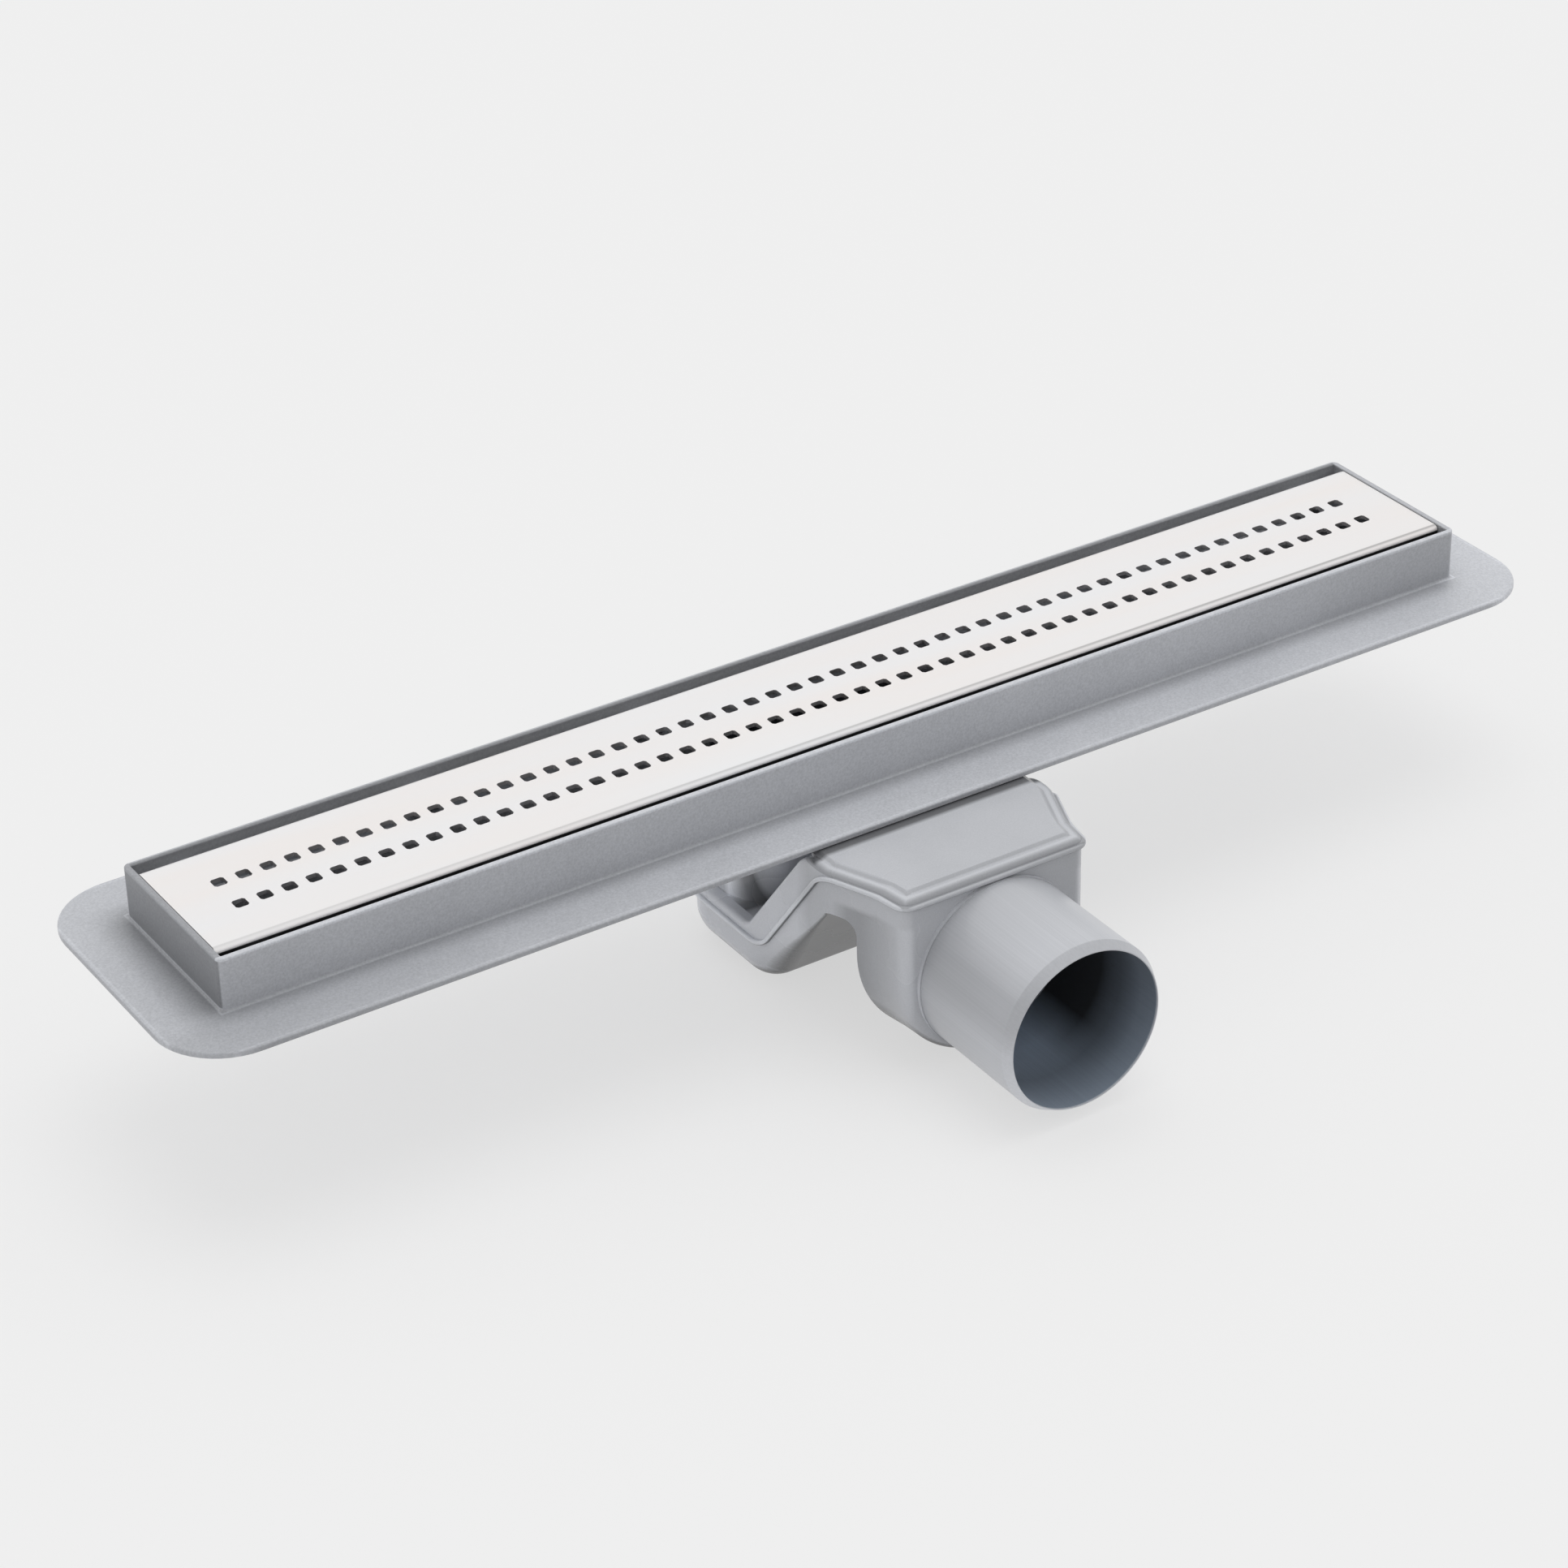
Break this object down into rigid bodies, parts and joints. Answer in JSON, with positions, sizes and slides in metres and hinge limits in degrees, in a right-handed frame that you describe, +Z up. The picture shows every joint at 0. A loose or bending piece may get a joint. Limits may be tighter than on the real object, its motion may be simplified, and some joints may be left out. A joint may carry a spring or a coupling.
{
  "type": "linear shower drain",
  "caption": "Low linear shower drain: moulded channel with membrane flange, perforated steel cover, and a welded trap with a horizontal outlet.",
  "frame": {"origin": "centre of the cover's top face, which lies at the level of the finished floor", "axes": "+X along the channel, +Z up out of the floor, and the outlet leaves towards -Y"},
  "size_m": [0.437, 0.166, 0.074],
  "materials": {
    "channel_plastic": "satin grey, fine grain",
    "trap_plastic": "satin grey, fine grain",
    "pipe_plastic": "satin grey, drawn smooth",
    "cover_steel": "fine brushing along the length",
    "strainer_plastic": "dark grey, moulded",
    "seal_rubber": "black, dull"
  },
  "bodies": {
    "root": {"channel_body": "channel_plastic", "cover_grate": "cover_steel", "hair_strainer": "strainer_plastic", "trap_upper_shell": "trap_plastic", "trap_lower_shell": "trap_plastic", "outlet_pipe": "pipe_plastic", "inlet_seal": "seal_rubber"}
  },
  "joints": []
}
